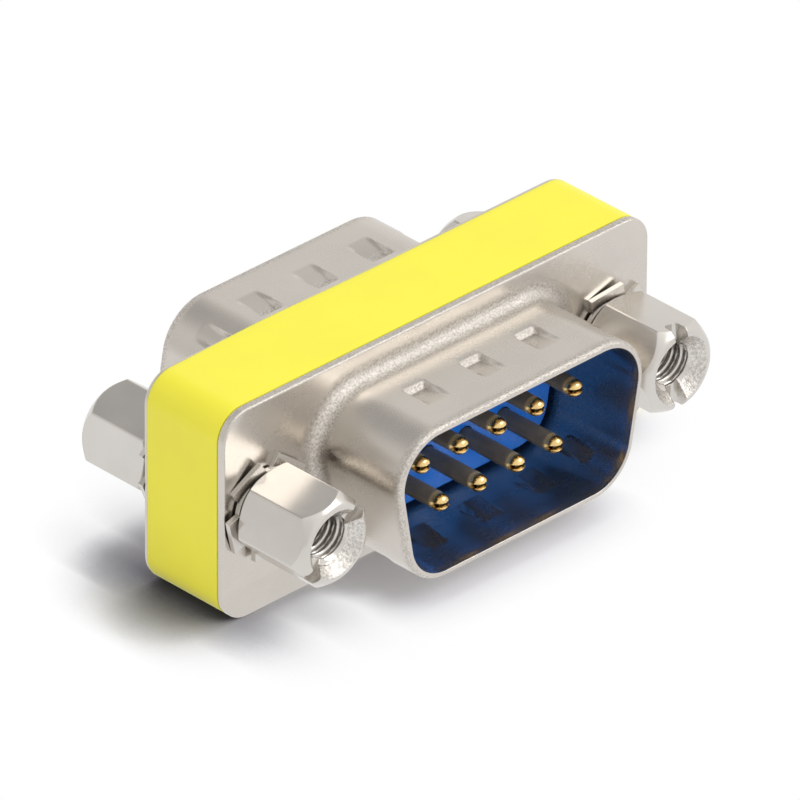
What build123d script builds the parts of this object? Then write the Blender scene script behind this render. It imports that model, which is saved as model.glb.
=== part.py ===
from build123d import *
from math import cos, pi, radians, sin, tan
import os

# A slim nine-way D-sub gender changer, plug to plug, in millimetres.
# X runs along the flanges, the front plug looks towards -Y and the rear plug towards +Y.
# The object stands on the long edges of its two flanges, on Z = 0.

# Contacts and jacks along X: a row of pins sets the mouth, the mouth sets the jacks and the flange
long_row_count = 5
pin_pitch = 2.77
pin_to_mouth_side = 2.92
mouth_side_to_jack = 4.04
jack_to_flange_end = 2.9

# Flanges
flange_height = 12.5
flange_corner_radius = 1.7
flange_thickness = 0.5
flange_edge_bevel = 0.1
body_thickness = 6.0

# Drawn D shroud, the same stamping on both sides
mouth_height = 8.36
mouth_corner_radius = 2.5
side_angle = 10.0
shroud_depth = 6.25
shroud_wall = 0.4
shroud_base_radius = 0.7
rim_bevel = 0.1

# Dimples pressed into the shroud
dimple_width = 1.4
dimple_length = 2.0
dimple_depth = 0.36
dimple_start = 2.3
dimple_pitch = 4.0
dimples_per_side = 3
corner_dimple_width = 0.9
corner_dimple_angle = 42.0

# Contacts
pin_diameter = 1.0
row_pitch = 2.84
pin_reach = 4.9
tip_length = 0.22
tip_taper = 42.0
bend_reach = 1.0

# Insulators
boss_height = 0.6
boss_gap = 0.25
boss_edge_bevel = 0.18
pin_clearance = 0.04
hole_sides = 12
pocket_depth = 1.6
pocket_margin = 0.35

# Yellow wrap around the body
wrap_thickness = 0.2
wrap_inset = 0.12
wrap_clearance = 0.03

# Jack screws, jack nuts and lock washers
jack_hole_clearance = 0.13
hex_across_flats = 4.76
hex_length = 4.9
end_bevel_inset = 0.18
end_bevel_depth = 0.75
seat_bevel_inset = 0.06
seat_bevel_depth = 0.35
thread_diameter = 2.845
thread_clearance = 0.06
jack_bore_depth = 3.9
countersink_diameter = 3.6
countersink_angle = 90.0
stud_engagement = 2.2
slot_width = 0.9
slot_depth = 1.0
washer_thickness = 0.3
washer_hole_clearance = 0.08
washer_ring_diameter = 4.5
washer_diameter = 5.6
washer_teeth = 5
tooth_width = 2.2
tooth_twist = 6.0

# Sizes worked out from the ones above
mouth_width = (long_row_count - 1) * pin_pitch + 2 * pin_to_mouth_side
jack_spacing = mouth_width + 2 * mouth_side_to_jack
flange_width = jack_spacing + 2 * jack_to_flange_end
centre_height = flange_height / 2
half_body = body_thickness / 2
plate_thickness = half_body - flange_thickness
thread_radius = thread_diameter / 2
stud_radius = thread_radius - thread_clearance
jack_hole_radius = thread_radius + jack_hole_clearance
wrap_width = flange_width - 2 * wrap_inset
wrap_height = flange_height - 2 * wrap_inset
wrap_radius = flange_corner_radius - wrap_inset
block_width = wrap_width - 2 * wrap_thickness
block_height = wrap_height - 2 * wrap_thickness
block_radius = wrap_radius - wrap_thickness

# The D's flat sides would meet outside its rounded corners, at these half widths
corner_overhang = mouth_corner_radius * (1 / tan(radians(45 - side_angle / 2)) - 1)
wide_half = mouth_width / 2 + corner_overhang
narrow_half = wide_half - mouth_height * tan(radians(side_angle))

# A twisted tooth stands as high as its corners reach, and the jacks sit on the teeth
tooth_height = tooth_width * sin(radians(tooth_twist)) + washer_thickness * cos(radians(tooth_twist))
hex_top = tooth_height + hex_length

# Outer faces of the two flanges; the rear one is the front one turned over, wide side down
front_face = Plane(origin=(0, -half_body, centre_height), x_dir=(1, 0, 0), z_dir=(0, -1, 0))
rear_face = Plane(origin=(0, half_body, centre_height), x_dir=(1, 0, 0), z_dir=(0, 1, 0))
middle = Plane(origin=(0, 0, centre_height), x_dir=(1, 0, 0), z_dir=(0, -1, 0))

# Contact places on a flange face: a row of five on the wide side, four on the narrow side
long_row = [(n - (long_row_count - 1) / 2) * pin_pitch for n in range(long_row_count)]
short_row = [(n - (long_row_count - 2) / 2) * pin_pitch for n in range(long_row_count - 1)]
pin_places = [(x, row_pitch / 2) for x in long_row] + [(x, -row_pitch / 2) for x in short_row]
jack_places = [(-jack_spacing / 2, 0), (jack_spacing / 2, 0)]

os.makedirs("parts", exist_ok=True)


def write(part, name):
    """Label a finished piece and write it as its own STEP file."""
    part.label = name
    export_step(part, f"parts/{name}.step")


def d_outline(grow):
    """The D of the mouth's inside, wide side towards +Y, grown all round by this much."""
    half = mouth_height / 2
    with BuildSketch() as outline:
        with BuildLine():
            Polyline((-wide_half, half), (wide_half, half), (narrow_half, -half),
                     (-narrow_half, -half), close=True)
        make_face()
        fillet(outline.vertices(), mouth_corner_radius)
        offset(amount=grow)
    return outline.sketch


def dimple_seats(face):
    """Planes on the shroud's outside where dimples are pressed, with the width of each."""
    top = mouth_height / 2 + shroud_wall
    corner_x = narrow_half - mouth_corner_radius / tan(radians(45 + side_angle / 2))
    corner_y = mouth_corner_radius - mouth_height / 2
    reach = mouth_corner_radius + shroud_wall
    tilt = radians(corner_dimple_angle)
    seats = []
    for n in range(dimples_per_side):
        x = (n - (dimples_per_side - 1) / 2) * dimple_pitch
        seats.append(((x, top), (0, 1), dimple_width))
        seats.append(((x, -top), (0, -1), dimple_width))
    for side in (-1, 1):
        place = (side * (corner_x + reach * sin(tilt)), corner_y - reach * cos(tilt))
        seats.append((place, (side * sin(tilt), -cos(tilt)), corner_dimple_width))
    planes = []
    for (x, y), (out_x, out_y), width in seats:
        origin = face.from_local_coords((x, y, dimple_start))
        outward = face.from_local_coords((x + out_x, y + out_y, dimple_start)) - origin
        sideways = face.z_dir.cross(outward)
        planes.append((Plane(origin, x_dir=face.z_dir, z_dir=sideways), outward, width))
    return planes


def dimple_wedge(seat, outward, width, depth, back):
    """A wedge with its steep end towards the flange, running out towards the mouth."""
    up = 1 if seat.y_dir.dot(outward) > 0 else -1
    with BuildPart() as wedge:
        with BuildSketch(seat):
            with BuildLine():
                Polyline((-back, up * dimple_depth), (-back, -up * depth),
                         (dimple_length, 0), (dimple_length, up * dimple_depth), close=True)
            make_face()
        extrude(amount=width / 2, both=True)
    return wedge.part


def make_shell(face):
    """Flange and D shroud drawn from one sheet, with the dimples pressed in."""
    seats = dimple_seats(face)
    bulges = [dimple_wedge(seat, out, width + shroud_wall, shroud_wall + dimple_depth,
                           shroud_wall / 2) for seat, out, width in seats]
    recesses = [dimple_wedge(seat, out, width, dimple_depth, 0) for seat, out, width in seats]
    with BuildPart() as solid_shroud:
        with BuildSketch(face):
            add(d_outline(shroud_wall))
        extrude(amount=shroud_depth - rim_bevel)
    with BuildPart() as shell:
        with BuildSketch(face):
            RectangleRounded(flange_width, flange_height, flange_corner_radius)
        extrude(amount=-flange_thickness)
        flange_rims = shell.faces().filter_by(Axis.Y).edges()
        chamfer(flange_rims, flange_edge_bevel)
        with BuildSketch(face):
            add(d_outline(shroud_wall))
        extrude(amount=shroud_depth)
        bases = [edge for edge in shell.edges()
                 if abs(face.to_local_coords(edge.center()).Z) < 1e-4
                 and abs(face.to_local_coords(edge.center()).X) < wide_half + shroud_wall
                 and abs(face.to_local_coords(edge.center()).Y) < mouth_height / 2 + shroud_wall + 0.01]
        fillet(bases, shroud_base_radius)
        with BuildSketch(face.offset(-flange_thickness)):
            add(d_outline(0))
        extrude(amount=flange_thickness + shroud_depth, mode=Mode.SUBTRACT)
        rims = shell.faces().sort_by(Axis(face.origin, face.z_dir))[-1].edges()
        chamfer(rims, rim_bevel)
        with Locations(face):
            with Locations(jack_places):
                Hole(jack_hole_radius, flange_thickness)
        for bulge in bulges:
            add(bulge.intersect(solid_shroud.part))
        for recess in recesses:
            add(recess, mode=Mode.SUBTRACT)
    return shell.part


def make_insulator(face):
    """Moulded half of the body: a plate with a D boss, pin holes and a pocket behind."""
    with BuildPart() as insulator:
        with BuildSketch(middle):
            RectangleRounded(block_width, block_height, block_radius)
        extrude(amount=plate_thickness * (1 if face is front_face else -1))
        with BuildSketch(face.offset(-flange_thickness)):
            add(d_outline(-boss_gap))
        extrude(amount=flange_thickness + boss_height)
        boss_top = insulator.faces().sort_by(Axis(face.origin, face.z_dir))[-1]
        chamfer(boss_top.edges(), boss_edge_bevel)
        with BuildSketch(face.offset(-half_body)):
            Rectangle((long_row_count - 1) * pin_pitch + pin_diameter + 2 * pocket_margin,
                      row_pitch + pin_diameter + 2 * pocket_margin)
        extrude(amount=pocket_depth, mode=Mode.SUBTRACT)
        with BuildSketch(face.offset(boss_height)):
            with Locations(pin_places):
                RegularPolygon(pin_diameter / 2 + pin_clearance, hole_sides, major_radius=False)
        extrude(amount=-(boss_height + half_body), mode=Mode.SUBTRACT)
        with BuildSketch(face):
            with Locations(jack_places):
                RegularPolygon(jack_hole_radius, hole_sides, major_radius=False)
        extrude(amount=-half_body, mode=Mode.SUBTRACT)
    return insulator.part


def make_contact(place):
    """One bent wire: a pin on each side and a jog between, from one row to the other."""
    x, z = place
    tip = half_body + pin_reach - tip_length
    with BuildPart() as contact:
        with BuildLine(Plane.YZ.offset(x)) as path:
            Polyline((-tip, centre_height + z), (-bend_reach, centre_height + z),
                     (bend_reach, centre_height - z), (tip, centre_height - z))
        with BuildSketch(Plane(path.line @ 0, x_dir=(1, 0, 0), z_dir=path.line % 0)):
            Circle(pin_diameter / 2)
        sweep(transition=Transition.RIGHT)
        for end, outward in ((path.line @ 0, (0, -1, 0)), (path.line @ 1, (0, 1, 0))):
            with BuildSketch(Plane(end, x_dir=(1, 0, 0), z_dir=outward)):
                Circle(pin_diameter / 2)
            extrude(amount=tip_length, taper=tip_taper)
    return contact.part


def make_wrap():
    """The yellow band around the body, between the two flanges."""
    with BuildPart() as wrap:
        with BuildSketch(middle):
            RectangleRounded(wrap_width, wrap_height, wrap_radius)
            RectangleRounded(block_width, block_height, block_radius, mode=Mode.SUBTRACT)
        extrude(amount=plate_thickness - wrap_clearance, both=True)
    return wrap.part


def jack_seat(face, x, height):
    """Plane on a jack's axis, this far out from the flange face."""
    return Plane(face.from_local_coords((x, 0, height)), x_dir=face.x_dir, z_dir=face.z_dir)


def make_jack(face, x, turn, slot_turn=None):
    """Hex jack with bevelled ends; a slotted one is a screw whose stud crosses the body."""
    base = jack_seat(face, x, tooth_height)
    top = jack_seat(face, x, hex_top)
    side = Plane(base.origin, x_dir=base.x_dir, z_dir=base.y_dir)
    is_screw = slot_turn is not None
    corner = hex_across_flats / 2 / cos(pi / 6)
    with BuildPart() as jack:
        with BuildSketch(base):
            RegularPolygon(hex_across_flats / 2, 6, major_radius=False, rotation=turn)
        extrude(amount=hex_length)
        with BuildSketch(side):
            with BuildLine():
                Polyline((0, 0), (hex_across_flats / 2 - seat_bevel_inset, 0),
                         (corner, -seat_bevel_depth), (corner, end_bevel_depth - hex_length),
                         (hex_across_flats / 2 - end_bevel_inset, -hex_length),
                         (0, -hex_length), close=True)
            make_face()
        revolve(axis=Axis(base.origin, base.z_dir), mode=Mode.INTERSECT)
        with Locations(top):
            CounterSinkHole(thread_radius, countersink_diameter / 2,
                            jack_bore_depth if is_screw else hex_length, countersink_angle)
        if is_screw:
            with BuildSketch(base):
                Circle(stud_radius)
            extrude(amount=-(body_thickness + 2 * tooth_height + stud_engagement))
            with BuildSketch(top):
                Rectangle(2 * corner, slot_width, rotation=slot_turn)
            extrude(amount=-slot_depth, mode=Mode.SUBTRACT)
    return jack.part


def make_washer(face, x, turn):
    """External-tooth lock washer, its teeth twisted out of the ring's plane."""
    middle_plane = jack_seat(face, x, tooth_height / 2)
    tooth_length = (washer_diameter - washer_ring_diameter) / 2 + washer_thickness
    tooth_radius = (washer_diameter - tooth_length) / 2
    with BuildPart() as washer:
        with BuildSketch(middle_plane):
            Circle(washer_ring_diameter / 2)
            Circle(stud_radius + washer_hole_clearance, mode=Mode.SUBTRACT)
        extrude(amount=washer_thickness / 2, both=True)
        with Locations(middle_plane):
            with PolarLocations(tooth_radius, washer_teeth, start_angle=turn):
                Box(tooth_length, tooth_width, washer_thickness, rotation=(-tooth_twist, 0, 0))
    return washer.part


write(make_shell(front_face), "front_shell")
write(make_shell(rear_face), "rear_shell")
write(make_insulator(front_face), "front_insulator")
write(make_insulator(rear_face), "rear_insulator")
for number, place in enumerate(pin_places, start=1):
    write(make_contact(place), f"contact_{number}")
write(make_wrap(), "yellow_wrap")

left, right = -jack_spacing / 2, jack_spacing / 2
write(make_jack(front_face, left, turn=13, slot_turn=40), "front_left_jack_screw")
write(make_jack(front_face, right, turn=-6, slot_turn=90), "front_right_jack_screw")
write(make_jack(rear_face, left, turn=-21), "rear_left_jack_nut")
write(make_jack(rear_face, right, turn=12), "rear_right_jack_nut")
write(make_washer(front_face, left, turn=53), "front_left_lock_washer")
write(make_washer(front_face, right, turn=28), "front_right_lock_washer")
write(make_washer(rear_face, left, turn=10), "rear_left_lock_washer")
write(make_washer(rear_face, right, turn=-10), "rear_right_lock_washer")
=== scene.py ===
from math import ceil, cos, exp, hypot, log, pi, radians, sin, sqrt, tan

import bmesh
import bpy
from bpy.props import FloatProperty, FloatVectorProperty, PointerProperty
from mathutils import Matrix, Vector


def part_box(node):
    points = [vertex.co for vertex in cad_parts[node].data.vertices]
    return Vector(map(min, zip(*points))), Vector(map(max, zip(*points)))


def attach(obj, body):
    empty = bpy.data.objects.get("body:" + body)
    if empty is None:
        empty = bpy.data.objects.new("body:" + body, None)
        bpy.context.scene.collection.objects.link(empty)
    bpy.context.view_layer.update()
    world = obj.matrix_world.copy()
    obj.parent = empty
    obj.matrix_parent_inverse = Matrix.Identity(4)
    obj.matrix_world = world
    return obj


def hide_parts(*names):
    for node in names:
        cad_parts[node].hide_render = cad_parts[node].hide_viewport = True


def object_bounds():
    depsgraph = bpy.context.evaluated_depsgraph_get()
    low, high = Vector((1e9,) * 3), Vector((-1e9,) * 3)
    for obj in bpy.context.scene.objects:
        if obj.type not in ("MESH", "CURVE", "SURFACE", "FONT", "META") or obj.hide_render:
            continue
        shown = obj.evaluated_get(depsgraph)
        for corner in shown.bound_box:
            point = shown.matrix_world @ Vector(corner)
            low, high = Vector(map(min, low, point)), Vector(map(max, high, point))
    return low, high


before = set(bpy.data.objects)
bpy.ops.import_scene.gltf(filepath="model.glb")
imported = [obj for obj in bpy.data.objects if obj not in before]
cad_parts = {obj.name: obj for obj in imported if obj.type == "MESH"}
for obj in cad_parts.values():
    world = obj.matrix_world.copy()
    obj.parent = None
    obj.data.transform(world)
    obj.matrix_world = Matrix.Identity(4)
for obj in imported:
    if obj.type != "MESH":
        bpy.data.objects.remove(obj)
CAD_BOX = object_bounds()

bl_info = {
    "name": "D-sub gender changer",
    "version": (1, 0, 0),
    "blender": (4, 5, 0),
    "location": "3D View > Sidebar > Gender changer",
    "description": "Makes the visible pieces, finishes and studio of a slim plug-to-plug D-sub adapter",
    "category": "Object",
}

MM = 0.001

# The flanges' outer faces lie this far in front of and behind the body's middle
HALF_BODY = 3.0 * MM
CENTRE_HEIGHT = (CAD_BOX[0].z + CAD_BOX[1].z) / 2
SIDES = ("front", "rear")
HANDS = ("left", "right")
LONG_ROW_COUNT = 5
CONTACT_COUNT = 2 * LONG_ROW_COUNT - 1


# Sizes and colours that a user would change

def length_property(name, description, millimetres):
    return FloatProperty(name=name, description=description, default=millimetres * MM,
                         unit="LENGTH", precision=5)


def angle_property(name, description, degrees):
    return FloatProperty(name=name, description=description, default=radians(degrees), unit="ROTATION")


def colour_property(name, description, colour):
    return FloatVectorProperty(name=name, description=description, default=colour,
                               subtype="COLOR", size=3, min=0, max=1)


def light_property(name, description, strength):
    return FloatProperty(name=name, description=description, default=strength, min=0)


class ShellSizes(bpy.types.PropertyGroup):
    """The drawn steel shell: flange, D shroud and dimples."""
    mouth_width: length_property("Mouth width", "Widest inside width of the D", 16.92)
    mouth_height: length_property("Mouth height", "Inside height of the D", 8.36)
    corner_radius: length_property("Corner radius", "Inside radius of the D's corners", 2.5)
    side_angle: angle_property("Side angle", "Lean of the D's short sides", 10)
    wall: length_property("Wall", "Thickness of the drawn wall", 0.4)
    base_radius: length_property("Base radius", "Outside radius where the wall leaves the flange", 0.7)
    drawn_reach: length_property("Drawn reach", "How far the drawn skin runs out over the flange", 0.45)
    rim_radius: length_property("Rim radius", "Outside rounding of the mouth's rim", 0.26)
    lip_radius: length_property("Lip radius", "Inside rounding of the mouth's rim", 0.04)
    lead_in: length_property("Lead-in", "How far the inside opens towards the rim", 0.035)
    lead_in_depth: length_property("Lead-in depth", "Depth at which the lead-in ends", 0.42)
    flange_thickness: length_property("Flange thickness", "Thickness of the flange", 0.5)
    flange_corner: length_property("Flange corner radius", "Radius of the flange's corners", 1.7)
    flange_rounding: length_property("Flange rounding", "Rounding along the flange's edges", 0.13)
    wrapped_inset: length_property("Wrapped inset", "Inset of the rear flange under the wrap's edge", 0.04)
    jack_hole_radius: length_property("Jack hole radius", "Radius of the holes for the studs", 1.5525)
    dimple_width: length_property("Dimple width", "Width of a dimple across the wall", 1.4)
    dimple_length: length_property("Dimple length", "Length of a dimple along the wall", 2.0)
    dimple_depth: length_property("Dimple depth", "How far a dimple is pressed in", 0.36)
    dimple_start: length_property("Dimple start", "Distance of a dimple's steep end from the flange", 2.3)
    dimple_pitch: length_property("Dimple pitch", "Distance between dimples on a long side", 4.0)
    corner_dimple_width: length_property("Corner dimple width", "Width of a dimple on a corner", 0.9)
    corner_dimple_angle: angle_property("Corner dimple angle", "Place of a dimple on its corner", 42)


class WrapSizes(bpy.types.PropertyGroup):
    """The yellow label around the body."""
    inset: length_property("Inset", "Outer surface, in from the flanges' edges", 0.005)
    thickness: length_property("Thickness", "Thickness where it laps over the rear flange", 0.033)
    body_inset: length_property("Body inset", "Inner surface against the body", 0.32)
    front_edge: length_property("Front edge", "From the body's middle to the front edge", 2.49)
    rear_edge: length_property("Rear edge", "From the body's middle to the rear edge", 2.74)
    sway: length_property("Sway", "How far the rear edge wanders on top", 0.17)


class ContactSizes(bpy.types.PropertyGroup):
    """The bent wires with a pin on each side."""
    diameter: length_property("Diameter", "Diameter of a pin", 1.0)
    nose_length: length_property("Nose length", "Length of a pin's rounded nose", 0.5)
    bend_reach: length_property("Bend reach", "Where the wire bends, from the body's middle", 1.0)
    slit_width: length_property("Slit width", "Width of the slit in a pin's nose", 0.2)
    slit_depth: length_property("Slit depth", "Depth of the slit in a pin's nose", 0.24)
    slit_run_out: length_property("Slit run-out", "How far the slit fades out behind the nose", 0.3)


class JackSizes(bpy.types.PropertyGroup):
    """The hex jack screws, the jack nuts and their threads."""
    across_flats: length_property("Across flats", "Width of the hex across its flats", 4.76)
    corner_rounding: length_property("Corner rounding", "Radius along the hex's corners", 0.14)
    length: length_property("Length", "Length of the hex", 4.9)
    end_inset: length_property("End bevel inset", "From the flats in to the outer end's flat ring", 0.18)
    end_depth: length_property("End bevel depth", "Depth of the outer end's bevel at a corner", 0.75)
    seat_inset: length_property("Seat bevel inset", "From the flats in to the seat's flat ring", 0.06)
    seat_depth: length_property("Seat bevel depth", "Depth of the seat's bevel at a corner", 0.35)
    thread_radius: length_property("Thread radius", "Major radius of the thread", 1.4225)
    thread_pitch: length_property("Thread pitch", "Distance between thread turns", 0.635)
    thread_depth: length_property("Thread depth", "Height of the thread's ridges", 0.3)
    bore_depth: length_property("Bore depth", "Depth of a jack screw's bore", 3.9)
    countersink_radius: length_property("Countersink radius", "Radius of the countersink's mouth", 1.94)
    slot_width: length_property("Slot width", "Width of the screwdriver slot", 0.9)
    slot_depth: length_property("Slot depth", "Depth of the screwdriver slot", 1.0)
    stud_radius: length_property("Stud radius", "Radius of the stud through the body", 1.3625)


class FinishColours(bpy.types.PropertyGroup):
    """Base colours of the finishes."""
    nickel: colour_property("Nickel", "Plating of the shells", (0.65, 0.61, 0.56))
    jack_nickel: colour_property("Jack nickel", "Plating of jacks and washers", (0.67, 0.64, 0.60))
    blue: colour_property("Blue", "Moulded insulators", (0.014, 0.22, 0.95))
    gold: colour_property("Gold", "Flash on the contacts", (0.95, 0.69, 0.31))
    # Plate colour made darker: it also paints the shade on the shafts deep in the shroud
    shaft_plate_and_shade: colour_property("Shaft", "Plate on the contacts' shafts", (0.21, 0.18, 0.13))
    yellow: colour_property("Yellow", "Wrap around the body", (0.90, 0.83, 0.05))


class StudioSettings(bpy.types.PropertyGroup):
    """Camera, floor and lamps."""
    azimuth: angle_property("Azimuth", "Camera's place round the object", -44.431)
    elevation: angle_property("Elevation", "Camera's height above the floor", 31.126)
    roll: angle_property("Roll", "Camera's turn about its own axis", 0.358)
    distance: FloatProperty(name="Distance", description="From the camera to its target",
                            default=0.8, unit="LENGTH")
    lens: FloatProperty(name="Lens", description="Focal length", default=691.2, unit="CAMERA")
    key_power: light_property("Key power", "Power of the lamp that throws the shadow", 0.36)
    box_power: light_property("Softbox power", "Power of the softbox in front", 0.55)
    horizon: light_property("Horizon", "Brightness of the cove behind, low down", 0.94)
    ceiling: light_property("Ceiling", "Brightness of the cove behind, high up", 0.42)
    front: light_property("Front", "Brightness of the cove in front", 1.0)
    left: light_property("Left", "Share of the cove's brightness at the left", 0.84)
    target: FloatVectorProperty(name="Target", description="Point that the camera looks at",
                                default=(0.012 * MM, -0.167 * MM, 6.066 * MM), subtype="TRANSLATION",
                                size=3, precision=6)


# Small helpers for meshes

SAME_POINT = 1e-8
SHARP_ANGLE = radians(32)


def face_matrix(side):
    """From a flange face's own X, Y and outward depth to the part's frame."""
    out = -1 if side == "front" else 1
    return Matrix(((1, 0, 0, 0), (0, 0, out, out * HALF_BODY), (0, -out, 0, CENTRE_HEIGHT), (0, 0, 0, 1)))


def put(name, bm, matrix, material, replaces=()):
    """Turn a bmesh into a finished piece that rides on the body."""
    bmesh.ops.remove_doubles(bm, verts=bm.verts, dist=SAME_POINT)
    bmesh.ops.recalc_face_normals(bm, faces=bm.faces)
    mesh = bpy.data.meshes.new(name)
    bm.to_mesh(mesh)
    bm.free()
    mesh.transform(matrix)
    mesh.shade_smooth()
    mesh.set_sharp_from_angle(angle=SHARP_ANGLE)
    mesh.materials.append(material)
    piece = bpy.data.objects.new(name, mesh)
    bpy.context.scene.collection.objects.link(piece)
    weighted = piece.modifiers.new("flat faces stay flat", "WEIGHTED_NORMAL")
    weighted.keep_sharp = True
    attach(piece, "root")
    for node in replaces:
        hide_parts(node)
    return piece


def loft(bm, rings):
    """Faces between closed rings of the same number of points; returns the rings' vertices."""
    rows = [[bm.verts.new(point) for point in ring] for ring in rings]
    count = len(rows[0])
    for row, following in zip(rows, rows[1:]):
        for n in range(count):
            m = (n + 1) % count
            bm.faces.new((row[n], row[m], following[m], following[n]))
    return rows


def flat_fill(bm, *loops):
    """A flat face inside the first loop of vertices, with the other loops as holes."""
    edges = []
    for loop in loops:
        for n, vert in enumerate(loop):
            pair = (vert, loop[(n + 1) % len(loop)])
            edges.append(bm.edges.get(pair) or bm.edges.new(pair))
    bmesh.ops.triangle_fill(bm, use_beauty=True, edges=edges)


def spread(low, high, parts):
    """Values from low to high that divide the stretch into this many parts, both ends included."""
    return [low + (high - low) * n / parts for n in range(parts + 1)]


def between(here, there, parts):
    """The points that divide a straight run into this many parts, without its ends."""
    return [(here[0] + (there[0] - here[0]) * share, here[1] + (there[1] - here[1]) * share)
            for share in spread(0, 1, parts)[1:-1]]


def smooth_step(value):
    value = min(max(value, 0.0), 1.0)
    return value * value * (3 - 2 * value)


# The drawn shell

def d_corners(sizes):
    """Centre of each rounded corner of the D, with the angles at which its arc starts and ends."""
    half, radius, lean = sizes.mouth_height / 2, sizes.corner_radius, sizes.side_angle
    wide_x = sizes.mouth_width / 2 - radius
    wide_half = wide_x + radius / tan(pi / 4 - lean / 2)
    narrow_half = wide_half - sizes.mouth_height * tan(lean)
    narrow_x = narrow_half - radius / tan(pi / 4 + lean / 2)
    return [((wide_x, half - radius), -lean, pi / 2), ((-wide_x, half - radius), pi / 2, pi + lean),
            ((-narrow_x, radius - half), pi + lean, 1.5 * pi),
            ((narrow_x, radius - half), 1.5 * pi, 2 * pi - lean)]


def d_samples(sizes):
    """Points and outward directions round the inside of the D, wide side towards +Y."""
    radius, corners = sizes.corner_radius, d_corners(sizes)
    fine_step = 0.1 * MM
    side_step = 10 * fine_step
    samples = []
    for n, ((x, y), start, end) in enumerate(corners):
        for angle in spread(start, end, ceil((end - start) * radius / fine_step)):
            samples.append(((x + radius * cos(angle), y + radius * sin(angle)), (cos(angle), sin(angle))))
        (next_x, next_y), next_start, _ = corners[(n + 1) % 4]
        here = samples[-1][0]
        there = (next_x + radius * cos(next_start), next_y + radius * sin(next_start))
        run = hypot(there[0] - here[0], there[1] - here[1])
        has_dimples = abs(sin(end)) > 0.9
        for point in between(here, there, ceil(run / (fine_step if has_dimples else side_step))):
            samples.append((point, (cos(end), sin(end))))
    return samples


def dimple_places(sizes):
    """Middle, outward direction and width of each dimple on the D."""
    half, radius, tilt = sizes.mouth_height / 2, sizes.corner_radius, sizes.corner_dimple_angle
    places = []
    for n in (-1, 0, 1):
        for up in (-1, 1):
            places.append(((n * sizes.dimple_pitch, up * half), (0, up), sizes.dimple_width))
    narrow_x = d_corners(sizes)[-1][0][0]
    for side in (-1, 1):
        place = (side * (narrow_x + radius * sin(tilt)), radius - half - radius * cos(tilt))
        places.append((place, (side * sin(tilt), -cos(tilt)), sizes.corner_dimple_width))
    return places


def pressed(sizes, places, point, outward, depth):
    """How far the wall is pressed in at a point of the D, this far out from the flange."""
    soft_side, soft_end, same_way = 0.16 * MM, 0.34 * MM, 0.7
    along = depth - sizes.dimple_start
    if not -soft_end < along < sizes.dimple_length:
        return 0.0
    steep = smooth_step(along / soft_end + 0.5)
    ramp = max(0.0, 1 - along / sizes.dimple_length)
    for (x, y), (nx, ny), width in places:
        if outward[0] * nx + outward[1] * ny < same_way:
            continue
        across = abs((point[0] - x) * -ny + (point[1] - y) * nx)
        if across < width / 2 + soft_side:
            side = smooth_step((width / 2 - across) / soft_side + 0.5)
            return sizes.dimple_depth * steep * ramp * side
    return 0.0


def shroud_profile(sizes, depth):
    """(grow, height) pairs from the flange face over the rim and down the inside."""
    base, rim, lip, wall = sizes.base_radius, sizes.rim_radius, sizes.lip_radius, sizes.wall
    margin = 0.2 * MM
    dimple_end = sizes.dimple_start + sizes.dimple_length
    heights = spread(base, sizes.dimple_start - margin, 4)[1:]
    heights += spread(sizes.dimple_start - margin, dimple_end + margin, 26)[1:]
    heights += spread(dimple_end + margin, depth - rim, 4)[1:]
    rows = [(wall + base + sizes.drawn_reach, 0.0)]
    rows += [(wall + base - base * sin(a), base - base * cos(a)) for a in spread(0, pi / 2, 9)]
    rows += [(wall, z) for z in heights]
    rows += [(wall - rim + rim * cos(a), depth - rim + rim * sin(a)) for a in spread(0, pi / 2, 8)[1:]]
    rows += [(sizes.lead_in + lip - lip * sin(a), depth - lip + lip * cos(a)) for a in spread(0, pi / 2, 4)]
    rows += [(sizes.lead_in * smooth_step(share), depth - lip - sizes.lead_in_depth * (1 - share))
             for share in spread(1, 0, 6)[1:]]
    rows += [(0.0, z) for z in reversed(heights) if z < depth - 1.5 * sizes.lead_in_depth]
    rows += [(0.0, base), (0.0, -sizes.flange_thickness)]
    return rows


def rounded_rectangle(width, height, radius, parts=1):
    """Points round a rectangle with rounded corners, its straights split into this many parts."""
    corners = ((1, 1, 0), (-1, 1, 1), (-1, -1, 2), (1, -1, 3))
    arcs = []
    for side_x, side_y, quarter in corners:
        arcs.append([(side_x * (width / 2 - radius) + radius * cos(angle),
                      side_y * (height / 2 - radius) + radius * sin(angle))
                     for angle in spread(quarter * pi / 2, (quarter + 1) * pi / 2, 14)])
    ring = []
    for arc, following in zip(arcs, arcs[1:] + arcs[:1]):
        ring += arc + between(arc[-1], following[0], parts)
    return ring


def skin_and_inner_shade_at(sizes, depth, grow, z):
    """The shroud's skin on one row: 1 where it is drawn, 0 on plain plate, and down to -1 deeper inside,
    where the plate gets painted shade.
    """
    inner_shade_reach = 1.2 * MM
    if grow > sizes.wall + sizes.base_radius:
        return 0.0
    # Painted shade: the inner plate darkens deeper in from the rim
    if grow <= sizes.wall / 2:
        return -smooth_step((depth - z) / inner_shade_reach)
    at_base = 1 - smooth_step((z - sizes.base_radius) / (0.5 * sizes.base_radius))
    at_rim = smooth_step((z - (depth - 2.5 * sizes.rim_radius)) / (1.5 * sizes.rim_radius))
    return max(at_base, at_rim)


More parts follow.
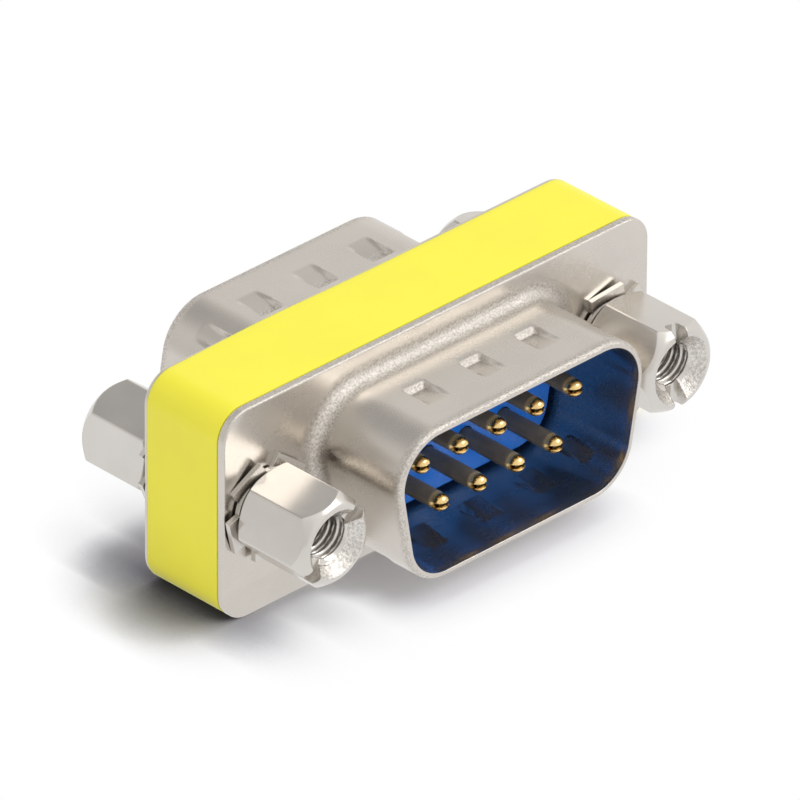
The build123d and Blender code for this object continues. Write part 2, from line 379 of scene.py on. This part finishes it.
def make_shroud(bm, drawn, sizes, depth):
    """The D shroud with its dimples; returns its rows, from the flange's face to its back."""
    samples, places, profile = d_samples(sizes), dimple_places(sizes), shroud_profile(sizes, depth)
    rings = []
    for grow, z in profile:
        ring = []
        for point, outward in samples:
            out = grow - pressed(sizes, places, point, outward, z)
            ring.append((point[0] + out * outward[0], point[1] + out * outward[1], z))
        rings.append(ring)
    rows = loft(bm, rings)
    steep_end, fade = sizes.dimple_start + 0.3 * MM, 0.6 * MM
    for (grow, z), row in zip(profile, rows):
        skin = skin_and_inner_shade_at(sizes, depth, grow, z)
        dent_skin = max(skin, 1 - smooth_step((z - steep_end) / fade))
        for vert, (point, outward) in zip(row, samples):
            dented = grow > sizes.wall / 2 and pressed(sizes, places, point, outward, z) > 0
            vert[drawn] = dent_skin if dented else skin
    return rows


def make_flange_edge(bm, drawn, sizes, width, height):
    """The flange's rounded edge, rough-cut on the wide side; returns its rows, face to back."""
    rounding, thickness = sizes.flange_rounding, sizes.flange_thickness
    profile = [(rounding - rounding * sin(a), rounding * cos(a) - rounding) for a in spread(0, pi / 2, 5)]
    profile += [(rounding - rounding * cos(a), rounding - thickness - rounding * sin(a))
                for a in spread(0, pi / 2, 5)]
    rows = loft(bm, [[(x, y, z) for x, y in rounded_rectangle(width - 2 * inset, height - 2 * inset,
                                                              sizes.flange_corner - inset)]
                     for inset, z in profile])
    wide_side, rough, smooth = 0.46 * height, 0.8, 0.1
    for row in rows[2:-2]:
        for vert in row:
            vert[drawn] = rough if vert.co.y > wide_side else smooth
    return rows


def make_shell(sizes, side, material):
    """Flange and D shroud in one, closed by the flange's two faces."""
    low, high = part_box(f"{side}_shell")
    width, height, thickness = high.x - low.x, high.z - low.z, sizes.flange_thickness
    if side == "rear":
        width, height = width - 2 * sizes.wrapped_inset, height - 2 * sizes.wrapped_inset
    bm = bmesh.new()
    # Negative "drawn" values mark painted shade inside the shroud
    drawn = bm.verts.layers.float.new("drawn")
    shroud = make_shroud(bm, drawn, sizes, (high.y - low.y) - thickness)
    edge = make_flange_edge(bm, drawn, sizes, width, height)
    holes = []
    for x in jack_places():
        ring = [(x + sizes.jack_hole_radius * cos(a), sizes.jack_hole_radius * sin(a))
                for a in spread(0, 2 * pi, 64)[:-1]]
        holes.append(loft(bm, [[(px, py, z) for px, py in ring] for z in (0, -thickness)]))
    flat_fill(bm, edge[0], shroud[0], holes[0][0], holes[1][0])
    flat_fill(bm, edge[-1], shroud[-1], holes[0][1], holes[1][1])
    return put(f"{side}_drawn_shell", bm, face_matrix(side), material, [f"{side}_shell"])


def jack_places():
    """X of the left and the right jack, from the frame."""
    places = []
    for hand in HANDS:
        low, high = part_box(f"front_{hand}_jack_screw")
        places.append((low.x + high.x) / 2)
    return places


# The wrap

def make_wrap(sizes, material):
    """The yellow label: flush with the front flange's edge, lapped over the rear flange's edge."""
    low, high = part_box("front_shell")
    width, height = high.x - low.x, high.z - low.z
    corner = bpy.context.scene.dsub_shell.flange_corner
    soft = 0.6 * sizes.thickness
    lap = sizes.inset + sizes.thickness
    outer = [(lap, 0.0, 0.0), (sizes.inset + 0.2 * soft, 0.0, 0.4 * soft), (sizes.inset, 0.0, soft)]
    outer += [(sizes.inset, share, 0.0) for share in (0.05, 0.5, 0.95)]
    outer += [(sizes.inset, 1.0, -soft), (sizes.inset + 0.2 * soft, 1.0, -0.4 * soft), (lap, 1.0, 0.0)]
    on_flange, behind_flange = HALF_BODY - 0.497 * MM, HALF_BODY - 0.51 * MM
    inner = [(lap, on_flange), (sizes.body_inset, behind_flange), (sizes.body_inset, -sizes.front_edge)]
    sway_middle, sway_reach, on_top = -7 * MM, 5 * MM, 0.45 * height

    def ring(inset, y_at):
        points = rounded_rectangle(width - 2 * inset, height - 2 * inset, corner - inset, 30)
        return [(x, y_at(x, z), CENTRE_HEIGHT + z) for x, z in points]

    def rear_edge(x, z):
        bump = exp(-((x - sway_middle) / sway_reach) ** 2) if z > on_top else 0.0
        return sizes.rear_edge + sizes.sway * bump

    rings = []
    for inset, share, shift in outer:
        rings.append(ring(inset, lambda x, z, share=share, shift=shift:
                          -sizes.front_edge + (rear_edge(x, z) + sizes.front_edge) * share + shift))
    for inset, y in inner:
        rings.append(ring(inset, lambda x, z, y=y: y))
    bm = bmesh.new()
    loft(bm, rings + rings[:1])
    return put("yellow_label", bm, Matrix.Identity(4), material, ["yellow_wrap"])


# Contacts

def contact_path(sizes, number):
    """(y, z, radius, distance from the wire's end) along a wire, from its front nose to its rear one."""
    low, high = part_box(f"contact_{number}")
    radius, nose, point_radius = sizes.diameter / 2, sizes.nose_length, 1e-6
    top, bottom = high.z - radius, low.z + radius
    z_front, z_rear = (top, bottom) if number <= LONG_ROW_COUNT else (bottom, top)
    ends = [(nose * (1 - cos(angle)), max(radius * sin(angle), point_radius))
            for angle in spread(0, pi / 2, 12)]
    ends += [(nose + sizes.slit_run_out * share, radius) for share in (0.2, 0.4, 0.6, 0.8, 1)]
    path = [(low.y + s, z_front, r, s) for s, r in ends]
    path += [(-sizes.bend_reach, z_front, radius, 1.0), (sizes.bend_reach, z_rear, radius, 1.0)]
    path += [(high.y - s, z_rear, r, s) for s, r in reversed(ends)]
    return path, (low.x + high.x) / 2


def make_contact(sizes, number, material):
    """One wire from pin to pin: rounded and slit noses, two bends inside the body."""
    path, x = contact_path(sizes, number)
    radius, nose = sizes.diameter / 2, sizes.nose_length
    # The slit runs along X, so the steps round the wire are finer at both of its ends
    beside_slit = (0, 0.07, 0.14, 0.21, 0.29, 0.38, 0.5, 0.68, 0.92, 1.22)
    flank_start, flank_run = 0.3 * sizes.slit_width, 0.4 * sizes.slit_width
    angles = []
    for middle in (0, pi):
        angles += [middle - a for a in reversed(beside_slit[1:])]
        angles += [middle + a for a in beside_slit] + [middle + pi / 2]
    bm = bmesh.new()
    slit = bm.verts.layers.float.new("slit")
    rings, cuts = [], []
    for n, (y, z, r, s) in enumerate(path):
        before, after = path[max(n - 1, 0)], path[min(n + 1, len(path) - 1)]
        along = Vector((0, after[0] - before[0], after[1] - before[1])).normalized()
        up = Vector((1, 0, 0)).cross(along)
        at_bend = r == radius and abs(along.z) > 0.05
        stretch = 1 / along.y if at_bend else 1.0
        fade = 1 - smooth_step((s - nose) / sizes.slit_run_out)
        heart = y + (1 if y < 0 else -1) * max(nose - s, 0.0)
        ring, cut = [], []
        for a in angles:
            share = fade * (1 - smooth_step((abs(r * sin(a)) - flank_start) / flank_run))
            keep = 1 - share * sizes.slit_depth / radius
            ring.append((x + r * cos(a) * keep, heart + (y - heart) * keep + r * sin(a) * up.y * stretch,
                         z + r * sin(a) * up.z * stretch))
            cut.append(share)
        rings.append(ring)
        cuts.append(cut)
    rows = loft(bm, rings)
    for row, cut in zip(rows, cuts):
        for vert, share in zip(row, cut):
            vert[slit] = share
    bm.faces.new(rows[0])
    bm.faces.new(rows[-1])
    return put(f"contact_wire_{number}", bm, Matrix.Identity(4), material,
               [f"contact_{number}"])


# Jacks

# Shares of a hex side from corner to corner, and of a bevel's run, closer where the form turns
SIDE_SHARES = (0, 0.01, 0.02, 0.035, 0.055, 0.08, 0.14, 0.22, 0.31, 0.4, 0.5,
               0.6, 0.69, 0.78, 0.86, 0.92, 0.945, 0.965, 0.98, 0.99)
BEVEL_SHARES = (0, 0.3, 0.45, 0.55, 0.63, 0.7, 0.76, 0.82, 0.88, 0.93, 0.97, 1)
THREAD_ROWS = 90


def hex_radius(sizes, angle):
    """Distance from the axis to the hex's side, with rounded corners."""
    flat, rounding = sizes.across_flats / 2, sizes.corner_rounding
    off = (angle + pi / 6) % (pi / 3) - pi / 6
    middle = (flat - rounding) / cos(pi / 6)
    to_corner = pi / 6 - abs(off)
    if middle * sin(to_corner) < rounding * sin(pi / 6):
        return middle * cos(to_corner) + sqrt(rounding ** 2 - (middle * sin(to_corner)) ** 2)
    return flat / cos(off)


def thread_ridge(sizes, angle, z):
    """How far the thread's ridge stands in from its major radius."""
    turn = (z / sizes.thread_pitch - angle / (2 * pi)) % 1.0
    flank_slope, root_share = 1.35, 0.2
    return sizes.thread_depth * smooth_step((1 - abs(2 * turn - 1)) * flank_slope - root_share)


def bevel_fall(sizes, radius, inset, depth):
    """Fall of a turned bevel at this radius, eased where it leaves the flat ring."""
    corner = sizes.across_flats / 2 / cos(pi / 6)
    start, soft = sizes.across_flats / 2 - inset, 0.17 * MM
    run = radius - start
    eased = soft / 2 * log(1 + exp(2 * run / soft))
    return eased * depth / (corner - start)


def jack_rings(sizes, turn, top, base, bottom):
    """Rings from the bottom of the bore, over the outer end and down the hex to its seat."""
    angles = []
    for sector in range(6):
        middle = turn + sector * pi / 3
        angles += [middle + pi / 6 * (2 * share - 1) for share in SIDE_SHARES]
    reach = [hex_radius(sizes, angle - turn) for angle in angles]
    countersink = sizes.countersink_radius

    def ring(radii, heights):
        return [(radius * cos(a), radius * sin(a), z) for radius, z, a in zip(radii, heights, angles)]

    def level(radii, z):
        return ring(radii, [z] * len(angles))

    def turned(inner, end, way, inset, depth):
        """Rings of a bevelled end, from its inner radius out to the hex's sides."""
        rings = []
        for share in BEVEL_SHARES:
            radii = [inner + (r - inner) * share for r in reach]
            rings.append(ring(radii, [end - way * bevel_fall(sizes, r, inset, depth) for r in radii]))
        return rings

    rings = []
    for z in spread(bottom, top, THREAD_ROWS):
        cone = countersink - (top - z)
        rings.append(level([max(sizes.thread_radius - thread_ridge(sizes, a, z), cone) for a in angles], z))
    end_start, seat_start = countersink + 0.05 * MM, sizes.across_flats / 2 - 4 * sizes.seat_inset
    rings += turned(end_start, top, 1, sizes.end_inset, sizes.end_depth)
    rings += [level(reach, top + (base - top) * share) for share in (0.25, 0.5, 0.75)]
    rings += turned(seat_start, base, -1, sizes.seat_inset, sizes.seat_depth)[::-1]
    return rings, angles


def make_jack(sizes, side, hand, material, turn, slot_turn=None):
    """A hex jack: turned bevels, threaded bore and, on a screw, the slot and the stud."""
    is_screw = slot_turn is not None
    node = f"{side}_{hand}_jack_{'screw' if is_screw else 'nut'}"
    low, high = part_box(node)
    face = face_matrix(side)
    inverse = face.inverted()
    lowest, top = sorted((inverse @ corner).z for corner in (low, high))
    base = top - sizes.length
    bottom = top - (sizes.bore_depth if is_screw else sizes.length)
    rings, angles = jack_rings(sizes, turn, top, base, bottom)
    bm = bmesh.new()
    if is_screw:
        rings += [[(sizes.stud_radius * cos(a), sizes.stud_radius * sin(a), z) for a in angles]
                  for z in (base, lowest)]
        rows = loft(bm, rings)
        bm.faces.new(rows[0])
        bm.faces.new(rows[-1])
        cut_slot(bm, sizes, top, slot_turn)
    else:
        loft(bm, rings + rings[:1])
    drawn = bm.verts.layers.float.new("drawn")
    cone_radius = sizes.countersink_radius + 0.02 * MM
    cone_depth = sizes.countersink_radius - sizes.thread_radius + 0.1 * MM
    for vert in bm.verts:
        on_cone = top - vert.co.z < cone_depth and hypot(vert.co.x, vert.co.y) < cone_radius
        vert[drawn] = 1.0 if on_cone else 0.0
    seat = face @ Matrix.Translation(((low.x + high.x) / 2, 0, 0))
    return put(f"{side}_{hand}_hex_jack", bm, seat, material, [node])


def cut_slot(bm, sizes, top, turn):
    """Mill the screwdriver slot across the end, with a rounded bottom."""
    bmesh.ops.remove_doubles(bm, verts=bm.verts, dist=SAME_POINT)
    bmesh.ops.recalc_face_normals(bm, faces=bm.faces)
    half, depth, corner = sizes.slot_width / 2, sizes.slot_depth, 0.3 * MM
    outline = [(-half, top + MM), (-half, top - depth + corner)]
    outline += [(-half + corner - corner * cos(a), top - depth + corner - corner * sin(a))
                for a in spread(0, pi / 2, 6)[1:]]
    outline += [(half - corner + corner * sin(a), top - depth + corner - corner * cos(a))
                for a in spread(0, pi / 2, 6)]
    outline += [(half, top + MM)]
    long_half = sizes.across_flats
    cutter = bmesh.new()
    rows = loft(cutter, [[(end, across, z) for across, z in outline] for end in (-long_half, long_half)])
    for row in rows:
        cutter.faces.new(row)
    bmesh.ops.rotate(cutter, verts=cutter.verts, matrix=Matrix.Rotation(turn, 3, "Z"))
    bmesh.ops.recalc_face_normals(cutter, faces=cutter.faces)
    objects = []
    for name, source in (("jack_blank", bm), ("slot_cutter", cutter)):
        mesh = bpy.data.meshes.new(name)
        source.to_mesh(mesh)
        objects.append(bpy.data.objects.new(name, mesh))
        bpy.context.scene.collection.objects.link(objects[-1])
    cutter.free()
    blank, tool = objects
    boolean = blank.modifiers.new("slot", "BOOLEAN")
    boolean.operation, boolean.solver, boolean.object = "DIFFERENCE", "EXACT", tool
    evaluated = blank.evaluated_get(bpy.context.evaluated_depsgraph_get())
    result = evaluated.to_mesh()
    bm.clear()
    bm.from_mesh(result)
    evaluated.to_mesh_clear()
    for thing in objects:
        mesh = thing.data
        bpy.data.objects.remove(thing)
        bpy.data.meshes.remove(mesh)


# Finishes

class Nodes:
    """Short way to add and link the shader nodes of a material or a world."""

    def __init__(self, owner):
        owner.use_nodes = True
        self.owner = owner
        self.tree = owner.node_tree
        self.tree.nodes.clear()

    def add(self, kind, inputs=None, **settings):
        made = self.tree.nodes.new(kind)
        for key, value in settings.items():
            setattr(made, key, value)
        for key, value in (inputs or {}).items():
            if isinstance(value, bpy.types.NodeSocket):
                self.tree.links.new(value, made.inputs[key])
            else:
                made.inputs[key].default_value = value
        return made

    def place(self):
        return self.add("ShaderNodeTexCoord").outputs["Object"]

    def split(self, vector):
        return self.add("ShaderNodeSeparateXYZ", {"Vector": vector}).outputs

    def attribute(self, name):
        return self.add("ShaderNodeAttribute", attribute_name=name).outputs["Fac"]

    def noise(self, scale, detail=3.0, roughness=0.55):
        return self.add("ShaderNodeTexNoise", {"Vector": self.place(), "Scale": scale, "Detail": detail,
                                               "Roughness": roughness}).outputs["Fac"]

    def ramp(self, value, low, high, to_low=0.0, to_high=1.0, **settings):
        return self.add("ShaderNodeMapRange", {"Value": value, "From Min": low, "From Max": high,
                                               "To Min": to_low, "To Max": to_high},
                        **settings).outputs["Result"]

    def math(self, operation, first, second=0.0):
        return self.add("ShaderNodeMath", {0: first, 1: second}, operation=operation).outputs["Value"]

    def mix(self, share, first, second):
        return self.add("ShaderNodeMix", {0: share, 6: first, 7: second}, data_type="RGBA").outputs[2]

    def rounded(self, radius):
        """Normals that round off sharp edges by this radius."""
        return self.add("ShaderNodeBevel", {"Radius": radius}, samples=6).outputs["Normal"]

    def bump(self, strength, distance, height, normal=None):
        inputs = {"Strength": strength, "Distance": distance, "Height": height}
        if normal:
            inputs["Normal"] = normal
        return self.add("ShaderNodeBump", inputs).outputs["Normal"]

    def finish(self, **inputs):
        shader = self.add("ShaderNodeBsdfPrincipled", inputs)
        self.add("ShaderNodeOutputMaterial", {"Surface": shader.outputs["BSDF"]})
        return self.owner


def new_material(name):
    return Nodes(bpy.data.materials.new(name))


def opaque(colour, factor=1.0):
    return (colour[0] * factor, colour[1] * factor, colour[2] * factor, 1.0)


def nickel(name, colour, roughness, grain, edge_radius, patchy=0.0, peel_scale=6200, frost=0.03):
    """Satin nickel plate: cloudy patches, a fine grain, an orange-peel skin where the sheet was drawn, with
    a colour grain there that is partly painted glitter.

    The attribute "drawn" is 1 on drawn or rough-cut skin, 0 on plain plate
    and down to -1 inside a shell, where the plate is darkened as painted shade.
    """
    n = new_material(name)
    clouds = n.noise(260, 4)
    peel = n.noise(peel_scale, 3, 0.7)
    fine = n.noise(16000, 2, 0.6)
    patches = n.ramp(n.noise(330, 2), 0.5, 0.64)
    drawn = n.attribute("drawn")
    skin = n.math("MAXIMUM", drawn, 0.0)
    rubbed = n.math("MAXIMUM", skin, n.math("MULTIPLY", patches, patchy))
    plate = n.mix(n.ramp(clouds, 0.3, 0.75), opaque(colour, 0.93), opaque(colour, 1.04))
    # Painted shade: darker, less blue plate inside the shroud
    inner_shade_plate = (colour[0] * 0.72, colour[1] * 0.66, colour[2] * 0.58, 1)
    plate = n.mix(n.ramp(drawn, 0, -1), plate, inner_shade_plate)
    # Fine grain of lighter and darker colour on drawn skin, partly painted glitter
    grain_and_glitter = n.math("ADD", 1.0, n.math("MULTIPLY", skin, n.ramp(peel, 0.38, 0.62, -0.24, 0.18)))
    shade = n.add("ShaderNodeHueSaturation", {"Value": grain_and_glitter, "Color": plate}).outputs["Color"]
    rough = n.math("ADD", n.ramp(clouds, 0.25, 0.75, roughness * 0.85, roughness * 1.2),
                   n.math("ADD", n.math("MULTIPLY", fine, 0.06), n.math("MULTIPLY", skin, frost)))
    grained = n.bump(grain, 0.004 * MM, fine, n.rounded(edge_radius))
    peeled = n.bump(rubbed, 0.05 * MM, peel, grained)
    return n.finish(**{"Base Color": shade, "Metallic": 1.0, "Roughness": rough, "Normal": peeled})


def blue_plastic(colour):
    """Moulded plastic: slightly uneven colour and a fine grain."""
    n = new_material("moulded_blue")
    grain = n.noise(2600, 3)
    shade = n.mix(n.noise(400, 2), opaque(colour, 0.9), opaque(colour, 1.1))
    grained = n.bump(0.25, 0.008 * MM, grain, n.rounded(0.08 * MM))
    return n.finish(**{"Base Color": shade, "Roughness": n.ramp(grain, 0.3, 0.7, 0.26, 0.38),
                       "Normal": grained, "IOR": 1.5})


def gold_flash(colour, shaft_plate_and_shade, nose_start):
    """Gold flash on the pins' noses, duller plate on the rest of the wire, made darker there as painted
    shade, the slit's inside darkened as painted shade.
    """
    n = new_material("gold_flash")
    clouds = n.noise(900, 3)
    uneven = n.math("MULTIPLY", clouds, 0.2 * MM)
    out = n.math("ADD", n.math("ABSOLUTE", n.split(n.place())["Y"]), uneven)
    gold = n.ramp(out, nose_start - 0.28 * MM, nose_start + 0.16 * MM)
    bright = n.mix(n.ramp(clouds, 0.35, 0.65), opaque(colour, 0.88), opaque(colour, 1.08))
    # Painted shade: the slit's inside is darkened
    bright = n.mix(n.ramp(n.attribute("slit"), 0.3, 0.8), bright, opaque(colour, 0.13))
    # Duller plate on the shafts, made darker as painted shade of the shroud's inside
    dull_plate_and_shade = n.mix(n.ramp(clouds, 0.35, 0.65), opaque(shaft_plate_and_shade, 0.85), opaque(shaft_plate_and_shade, 1.1))
    shade = n.mix(n.ramp(gold, 0, 0.6), dull_plate_and_shade, bright)
    return n.finish(**{"Base Color": shade, "Metallic": n.ramp(gold, 0.1, 1, 0.3, 1.0),
                       "Roughness": n.ramp(gold, 0, 1, 0.38, 0.13),
                       "Normal": n.bump(0.15, 0.006 * MM, n.noise(6500, 2))})


def yellow_vinyl(colour):
    """Satin vinyl of the label, slightly uneven."""
    n = new_material("yellow_vinyl")
    clouds = n.noise(180, 3)
    shade = n.mix(n.ramp(clouds, 0.3, 0.7), opaque(colour, 0.97), opaque(colour, 1.02))
    waved = n.bump(0.15, 0.01 * MM, n.noise(1500, 3), n.rounded(0.1 * MM))
    return n.finish(**{"Base Color": shade, "Roughness": n.ramp(clouds, 0.3, 0.7, 0.38, 0.48),
                       "Normal": waved, "IOR": 1.47})


def dress(node, material):
    """Give a CAD piece its finish."""
    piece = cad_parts[node]
    for place in piece.material_slots:
        place.material = material
    if not piece.material_slots:
        piece.data.materials.append(material)


# Operators, one for each group of like pieces

class DSUB_OT_shells(bpy.types.Operator):
    """Make the two drawn shells"""
    bl_idname = "dsub.shells"
    bl_label = "Drawn shells"

    def execute(self, context):
        sizes, colours = context.scene.dsub_shell, context.scene.dsub_finish
        material = nickel("shell_nickel", colours.nickel, roughness=0.24, grain=0.5,
                          edge_radius=0.05 * MM, patchy=0.06, peel_scale=8500, frost=0.09)
        for side in SIDES:
            make_shell(sizes, side, material)
        return {"FINISHED"}


class DSUB_OT_body(bpy.types.Operator):
    """Finish the two insulators and make the wrap around them"""
    bl_idname = "dsub.body"
    bl_label = "Insulators and wrap"

    def execute(self, context):
        colours = context.scene.dsub_finish
        blue = blue_plastic(colours.blue)
        for side in SIDES:
            dress(f"{side}_insulator", blue)
        make_wrap(context.scene.dsub_wrap, yellow_vinyl(colours.yellow))
        return {"FINISHED"}


class DSUB_OT_contacts(bpy.types.Operator):
    """Make the nine contacts"""
    bl_idname = "dsub.contacts"
    bl_label = "Contacts"

    def execute(self, context):
        sizes, colours = context.scene.dsub_contact, context.scene.dsub_finish
        nose_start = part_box("contact_1")[1].y - sizes.nose_length
        material = gold_flash(colours.gold, colours.shaft_plate_and_shade, nose_start)
        for number in range(1, CONTACT_COUNT + 1):
            make_contact(sizes, number, material)
        return {"FINISHED"}


class DSUB_OT_jacks(bpy.types.Operator):
    """Make the jack screws and jack nuts"""
    bl_idname = "dsub.jacks"
    bl_label = "Jacks"

    def execute(self, context):
        sizes, colour = context.scene.dsub_jack, context.scene.dsub_finish.jack_nickel
        material = nickel("jack_nickel", colour, roughness=0.19, grain=0.2, edge_radius=0.09 * MM)
        make_jack(sizes, "front", "left", material, turn=radians(43), slot_turn=radians(40))
        make_jack(sizes, "front", "right", material, turn=radians(24), slot_turn=radians(90))
        make_jack(sizes, "rear", "left", material, turn=radians(9))
        make_jack(sizes, "rear", "right", material, turn=radians(-18))
        return {"FINISHED"}


class DSUB_OT_washers(bpy.types.Operator):
    """Finish the toothed washers"""
    bl_idname = "dsub.washers"
    bl_label = "Lock washers"

    def execute(self, context):
        colour = context.scene.dsub_finish.jack_nickel
        material = nickel("washer_nickel", colour, roughness=0.24, grain=0.5, edge_radius=0.04 * MM)
        for side in SIDES:
            for hand in HANDS:
                dress(f"{side}_{hand}_lock_washer", material)
        return {"FINISHED"}


# The studio

def outward_from(azimuth, elevation):
    """Direction from the object to something at this azimuth and elevation."""
    return Vector((sin(azimuth) * cos(elevation), -cos(azimuth) * cos(elevation), sin(elevation)))


def aim(holder, place, back, roll=0.0):
    """Put a lamp or camera at a place, looking against this direction."""
    bpy.context.scene.collection.objects.link(holder)
    holder.location = place
    holder.rotation_mode = "QUATERNION"
    turn = Matrix.Rotation(roll, 4, "Z").to_quaternion()
    holder.rotation_quaternion = (-back).to_track_quat("-Z", "Y") @ turn


def soft_box(name, azimuth, elevation, width, height, power):
    """A rectangular studio lamp that faces the object."""
    distance = 0.5
    lamp = bpy.data.lights.new(name, "AREA")
    lamp.shape, lamp.size, lamp.size_y, lamp.energy = "RECTANGLE", width, height, power
    holder = bpy.data.objects.new(name, lamp)
    back = outward_from(azimuth, elevation)
    aim(holder, back * distance, back)
    return holder


def make_floor(scene):
    """Pale floor that reads as white to the camera and keeps the object's soft shadow: the lamps' own
    shadow, deepened by a painted shadow in the floor's colour.

    The painted shadow lies where ambient occlusion finds the object hiding the sky in front and at the
    right, and it thins out from the flanges' left end towards the middle along the floor's X. Away from it
    the camera sees plain white.
    """
    half = 0.055
    side_reach, low_reach = 5.5 * MM, 3.2 * MM
    shadow_end, shadow_thin, most_lift = -14.5 * MM, -9 * MM, 0.82
    mirrored_white = 0.9
    floor_mesh = bpy.data.meshes.new("floor")
    floor_mesh.from_pydata([(-half, -half, 0), (half, -half, 0), (half, half, 0), (-half, half, 0)],
                           [], [(0, 1, 2, 3)])
    floor = bpy.data.objects.new("floor", floor_mesh)
    scene.collection.objects.link(floor)
    floor.location.z = CAD_BOX[0].z - 0.01 * MM
    n = new_material("pale_floor")

    def open_sky(reach, **inputs):
        return n.add("ShaderNodeAmbientOcclusion", {"Distance": reach, **inputs}, samples=16).outputs["AO"]

    aside = n.add("ShaderNodeCombineXYZ", {"X": 0.8, "Y": -0.42, "Z": 0.45}).outputs["Vector"]
    left, above = open_sky(side_reach, Normal=aside), open_sky(low_reach)
    # Painted shadow thinned along the floor's X from the flanges' left end towards the middle
    shadow_lift = n.ramp(n.split(n.place())["X"], shadow_end, shadow_thin, 0, most_lift)
    left = n.math("ADD", left, n.math("MULTIPLY", shadow_lift, n.math("SUBTRACT", 1.0, left)))
    # Painted shadow: the floor's colour goes from pale to a bluish near-black where the object is near
    painted_shadow_colour, pale = (0.08, 0.08, 0.105, 1), (0.86, 0.865, 0.92, 1)
    diffuse = n.add("ShaderNodeBsdfDiffuse", {"Color": n.mix(n.ramp(left, 0.38, 0.92), painted_shadow_colour, pale)})
    glow = n.add("ShaderNodeEmission", {"Color": (1, 1, 1, 1), "Strength": 1.0})
    path = n.add("ShaderNodeLightPath").outputs
    # Near the object the camera sees less of the white, which deepens the painted shadow
    clear = n.math("MINIMUM", n.ramp(left, 0.74, 1.0), n.ramp(above, 0.55, 1.0))
    seen = n.math("MULTIPLY", path["Is Camera Ray"], clear)
    mirrored = n.math("MAXIMUM", path["Is Glossy Ray"], path["Is Transmission Ray"])
    white = n.math("MAXIMUM", seen, n.math("MULTIPLY", mirrored, mirrored_white))
    both = n.add("ShaderNodeMixShader", {0: white, 1: diffuse.outputs[0], 2: glow.outputs[0]})
    n.add("ShaderNodeOutputMaterial", {"Surface": both.outputs[0]})
    floor_mesh.materials.append(n.owner)


def make_world(scene, studio):
    """White cove all round: bright in front and at the horizon, dimmer high up behind."""
    scene.world = bpy.data.worlds.new("studio")
    n = Nodes(scene.world)
    smooth = {"interpolation_type": "SMOOTHSTEP"}
    # A direction's X, Y and Z run from -1 to 1: right, behind and up
    way = n.split(n.add("ShaderNodeTexCoord").outputs["Generated"])
    behind = n.ramp(way["Y"], -0.2, 0.65, **smooth)
    high = n.ramp(way["Z"], 0.5, 0.84, studio.horizon, studio.ceiling, **smooth)
    cove = n.add("ShaderNodeMix", {0: behind, 2: studio.front, 3: high}, data_type="FLOAT").outputs[0]
    side = n.ramp(way["X"], -0.8, -0.1, studio.left, 1.0, **smooth)
    warm_white, white = (1.0, 0.99, 0.975, 1), (1, 1, 1, 1)
    light = n.add("ShaderNodeBackground", {"Color": warm_white, "Strength": n.math("MULTIPLY", cove, side)})
    backdrop = n.add("ShaderNodeBackground", {"Color": white, "Strength": 1.0})
    seen = n.add("ShaderNodeLightPath").outputs["Is Camera Ray"]
    both = n.add("ShaderNodeMixShader", {0: seen, 1: light.outputs[0], 2: backdrop.outputs[0]})
    n.add("ShaderNodeOutputWorld", {"Surface": both.outputs[0]})


def make_camera(scene, studio):
    """Camera at the photograph's viewing angle."""
    camera = bpy.data.cameras.new("camera")
    camera.lens, camera.sensor_width = studio.lens, 36
    camera.clip_start, camera.clip_end = 0.05, 20
    holder = bpy.data.objects.new("camera", camera)
    back = outward_from(studio.azimuth, studio.elevation)
    aim(holder, Vector(studio.target) + back * studio.distance, back, studio.roll)
    scene.camera = holder


class DSUB_OT_stage(bpy.types.Operator):
    """Make the floor, the lamps, the world and the camera"""
    bl_idname = "dsub.stage"
    bl_label = "Studio"

    def execute(self, context):
        scene, studio = context.scene, context.scene.dsub_studio
        make_floor(scene)
        make_world(scene, studio)
        key = soft_box("key_light", azimuth=radians(112), elevation=radians(70),
                       width=0.3, height=0.3, power=studio.key_power)
        key.visible_glossy = False
        soft_box("front_softbox", azimuth=radians(36), elevation=radians(43),
                 width=0.31, height=0.2, power=studio.box_power)
        scene.view_settings.view_transform = "Standard"
        make_camera(scene, studio)
        return {"FINISHED"}


STEPS = (DSUB_OT_shells, DSUB_OT_body, DSUB_OT_contacts, DSUB_OT_jacks, DSUB_OT_washers, DSUB_OT_stage)
GROUPS = {"dsub_shell": ShellSizes, "dsub_wrap": WrapSizes, "dsub_contact": ContactSizes,
          "dsub_jack": JackSizes, "dsub_finish": FinishColours, "dsub_studio": StudioSettings}


class DSUB_PT_panel(bpy.types.Panel):
    """Lists the steps that make the gender changer"""
    bl_idname = "DSUB_PT_panel"
    bl_label = "Gender changer"
    bl_space_type = "VIEW_3D"
    bl_region_type = "UI"
    bl_category = "Gender changer"

    def draw(self, context):
        for step in STEPS:
            self.layout.operator(step.bl_idname)
        for group in GROUPS:
            box = self.layout.box()
            for name in getattr(context.scene, group).bl_rna.properties.keys():
                if name not in ("rna_type", "name"):
                    box.prop(getattr(context.scene, group), name)


CLASSES = (*GROUPS.values(), *STEPS, DSUB_PT_panel)


def register():
    for made in CLASSES:
        bpy.utils.register_class(made)
    for name, group in GROUPS.items():
        setattr(bpy.types.Scene, name, PointerProperty(type=group))


def unregister():
    for name in GROUPS:
        delattr(bpy.types.Scene, name)
    for made in reversed(CLASSES):
        bpy.utils.unregister_class(made)


def main():
    register()
    bpy.ops.dsub.shells()
    bpy.ops.dsub.body()
    bpy.ops.dsub.contacts()
    bpy.ops.dsub.jacks()
    bpy.ops.dsub.washers()
    bpy.ops.dsub.stage()


if __name__ == "__main__":
    main()
